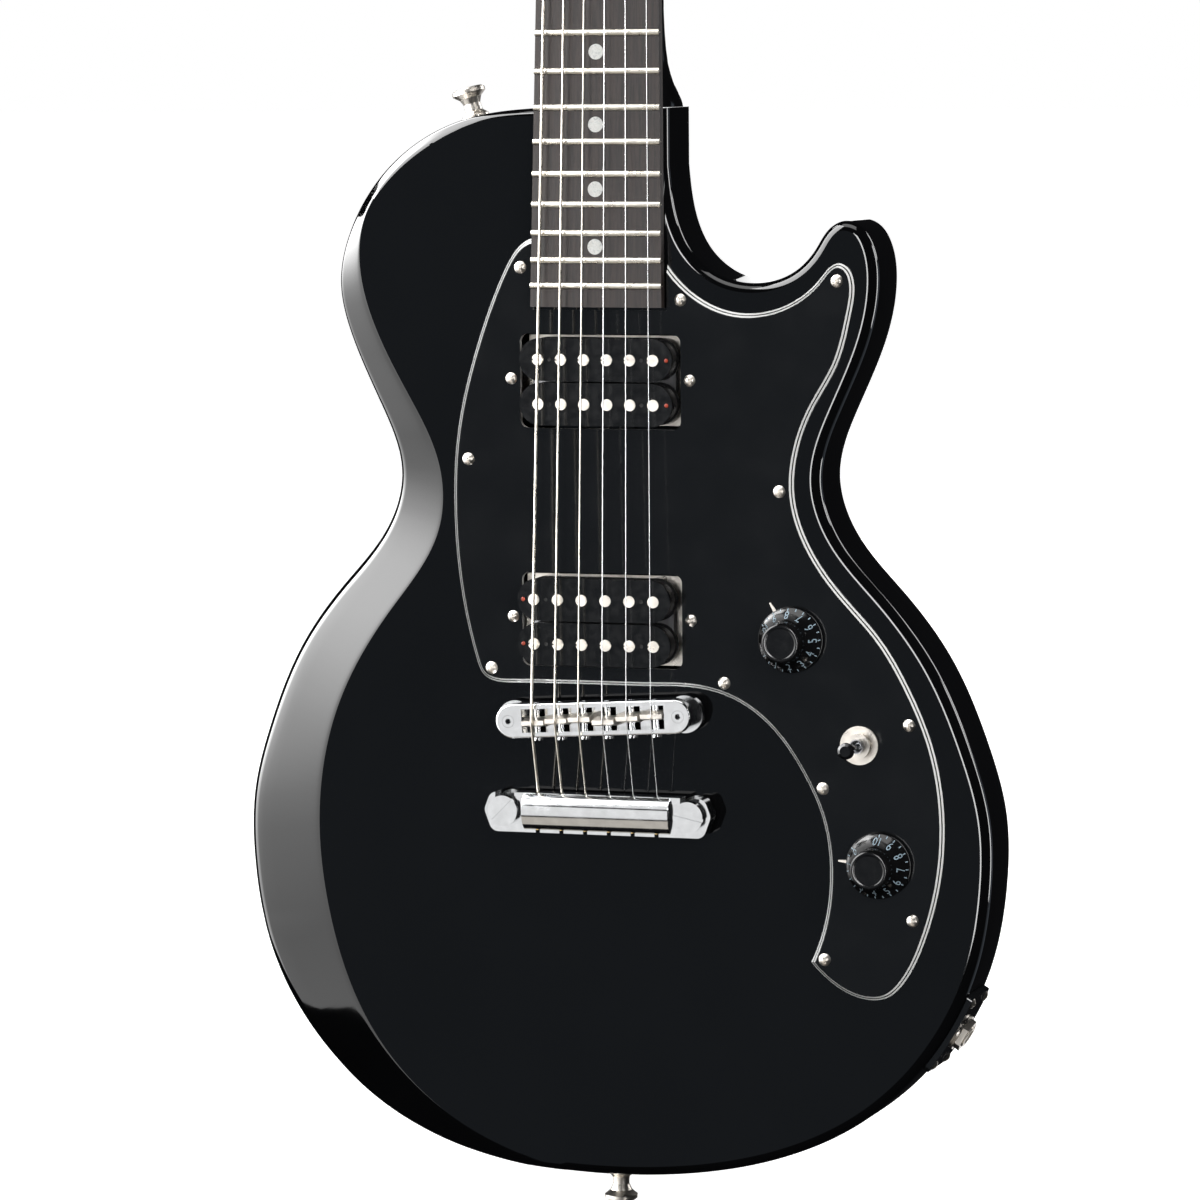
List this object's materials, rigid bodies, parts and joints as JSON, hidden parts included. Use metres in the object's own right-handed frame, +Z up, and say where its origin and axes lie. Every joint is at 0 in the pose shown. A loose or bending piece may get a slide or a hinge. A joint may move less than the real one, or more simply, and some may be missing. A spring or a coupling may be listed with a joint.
{
  "type": "electric guitar",
  "caption": "Solid-body single-cutaway electric guitar with a large pickguard carrying pickups, knobs and switch, a fixed bridge and a stop-bar tailpiece.",
  "frame": {"origin": "on the body's back face, on the centre line, level with the line where the strings cross the bridge saddles", "axes": "+Z up the neck, +X to the treble side, the front faces -Y and +Y is the outward normal of the flat back"},
  "size_m": [0.3294, 0.1037, 1.0126],
  "materials": {
    "body_finish": "gloss black lacquer",
    "neck_finish": "gloss black lacquer",
    "rosewood": "bare oiled",
    "fret_wire": "polished",
    "pearl": "pearl",
    "nut_bone": "satin",
    "steel": "plated",
    "nickel": "nickel plate",
    "chrome": "bright",
    "brass": "plain",
    "guard_plastic": "gloss, white core",
    "bobbin_plastic": "satin",
    "coil_wire": "enamelled copper",
    "magnet": "cast",
    "capacitor_ceramic": "dipped",
    "wire_insulation": "plain",
    "string_nickel": "wound",
    "string_steel": "plain",
    "knob_plastic": "gloss",
    "aluminium": "turned"
  },
  "bodies": {
    "guitar": {"body": "body_finish", "neck": "neck_finish", "fretboard": "rosewood", "frets": "fret_wire", "position_dots": "pearl", "nut": "nut_bone", "truss_rod": "steel", "truss_rod_cover": "guard_plastic", "small_wood_screws": "nickel", "pickguard": "guard_plastic", "pickup_bobbins": "bobbin_plastic", "pickup_coils": "coil_wire", "pickup_slugs": "nickel", "pickup_pole_screws": "nickel", "pickup_magnets": "magnet", "pickup_baseplates": "nickel", "pickup_height_screws": "nickel", "pickup_springs": "steel", "bridge_body": "chrome", "bridge_saddles": "nickel", "saddle_screws": "chrome", "bridge_thumbwheels": "chrome", "bridge_posts": "chrome", "body_bushings": "chrome", "tailpiece": "chrome", "tailpiece_studs": "chrome", "ball_ends": "brass", "tuner_bushings": "chrome", "switch_housing": "steel", "switch_nut": "nickel", "tone_capacitor": "capacitor_ceramic", "hookup_wires": "wire_insulation", "jack_plate": "guard_plastic", "output_jack": "nickel", "control_nuts": "nickel", "strap_buttons": "nickel", "strap_button_screws": "nickel", "wound_strings": "string_nickel", "plain_strings": "string_steel", "tuner_housings": "chrome", "pot_housings": "steel", "knob_pointers": "nickel"},
    "volume_control": {"volume_knob": "knob_plastic", "volume_shaft": "aluminium"},
    "tone_control": {"tone_knob": "knob_plastic", "tone_shaft": "aluminium"},
    "switch_arm": {"switch_lever": "chrome", "switch_tip": "knob_plastic"},
    "tuner_1_post": {"tuner_post_1": "chrome"},
    "tuner_1_button": {"tuner_button_1": "chrome"},
    "tuner_2_post": {"tuner_post_2": "chrome"},
    "tuner_2_button": {"tuner_button_2": "chrome"},
    "tuner_3_post": {"tuner_post_3": "chrome"},
    "tuner_3_button": {"tuner_button_3": "chrome"},
    "tuner_4_post": {"tuner_post_4": "chrome"},
    "tuner_4_button": {"tuner_button_4": "chrome"},
    "tuner_5_post": {"tuner_post_5": "chrome"},
    "tuner_5_button": {"tuner_button_5": "chrome"},
    "tuner_6_post": {"tuner_post_6": "chrome"},
    "tuner_6_button": {"tuner_button_6": "chrome"}
  },
  "joints": [
    {"name": "volume_turn", "type": "hinge", "parent": "guitar", "child": "volume_control", "pos_m": [0.082, -0.045, 0.0325], "axis": [0, 1, 0], "range_deg": [-270, 30]},
    {"name": "tone_turn", "type": "hinge", "parent": "guitar", "child": "tone_control", "pos_m": [0.119, -0.045, -0.0593], "axis": [0, 1, 0], "range_deg": [-30, 270]},
    {"name": "switch_rock", "type": "hinge", "parent": "guitar", "child": "switch_arm", "pos_m": [0.1104, -0.038, -0.0103], "axis": [1, 0, 0], "range_deg": [-12, 12]},
    {"name": "tuner_1_turn", "type": "hinge", "parent": "guitar", "child": "tuner_1_button", "pos_m": [-0.0525, 0.00904, 0.65598], "axis": [-1, 0, 0], "continuous": true},
    {"name": "tuner_1_wind", "type": "hinge", "parent": "guitar", "child": "tuner_1_post", "pos_m": [-0.0215, -0.0016, 0.66765], "axis": [0, 0.9593, -0.2822], "continuous": true},
    {"name": "tuner_2_turn", "type": "hinge", "parent": "guitar", "child": "tuner_2_button", "pos_m": [-0.0525, 0.02005, 0.69339], "axis": [-1, 0, 0], "continuous": true},
    {"name": "tuner_2_wind", "type": "hinge", "parent": "guitar", "child": "tuner_2_post", "pos_m": [-0.0245, 0.00941, 0.70507], "axis": [0, 0.9593, -0.2822], "continuous": true},
    {"name": "tuner_3_turn", "type": "hinge", "parent": "guitar", "child": "tuner_3_button", "pos_m": [-0.0525, 0.03105, 0.73081], "axis": [-1, 0, 0], "continuous": true},
    {"name": "tuner_3_wind", "type": "hinge", "parent": "guitar", "child": "tuner_3_post", "pos_m": [-0.0275, 0.02042, 0.74248], "axis": [0, 0.9593, -0.2822], "continuous": true},
    {"name": "tuner_4_turn", "type": "hinge", "parent": "guitar", "child": "tuner_4_button", "pos_m": [0.0525, 0.03105, 0.73081], "axis": [1, 0, 0], "continuous": true},
    {"name": "tuner_4_wind", "type": "hinge", "parent": "guitar", "child": "tuner_4_post", "pos_m": [0.0275, 0.02042, 0.74248], "axis": [0, 0.9593, -0.2822], "continuous": true},
    {"name": "tuner_5_turn", "type": "hinge", "parent": "guitar", "child": "tuner_5_button", "pos_m": [0.0525, 0.02005, 0.69339], "axis": [1, 0, 0], "continuous": true},
    {"name": "tuner_5_wind", "type": "hinge", "parent": "guitar", "child": "tuner_5_post", "pos_m": [0.0245, 0.00941, 0.70507], "axis": [0, 0.9593, -0.2822], "continuous": true},
    {"name": "tuner_6_turn", "type": "hinge", "parent": "guitar", "child": "tuner_6_button", "pos_m": [0.0525, 0.00904, 0.65598], "axis": [1, 0, 0], "continuous": true},
    {"name": "tuner_6_wind", "type": "hinge", "parent": "guitar", "child": "tuner_6_post", "pos_m": [0.0215, -0.0016, 0.66765], "axis": [0, 0.9593, -0.2822], "continuous": true}
  ],
  "couplings": [
    {"joint": "tuner_1_wind", "follows": "tuner_1_turn", "ratio": 0.071429},
    {"joint": "tuner_2_wind", "follows": "tuner_2_turn", "ratio": 0.071429},
    {"joint": "tuner_3_wind", "follows": "tuner_3_turn", "ratio": 0.071429},
    {"joint": "tuner_4_wind", "follows": "tuner_4_turn", "ratio": 0.071429},
    {"joint": "tuner_5_wind", "follows": "tuner_5_turn", "ratio": 0.071429},
    {"joint": "tuner_6_wind", "follows": "tuner_6_turn", "ratio": 0.071429}
  ]
}
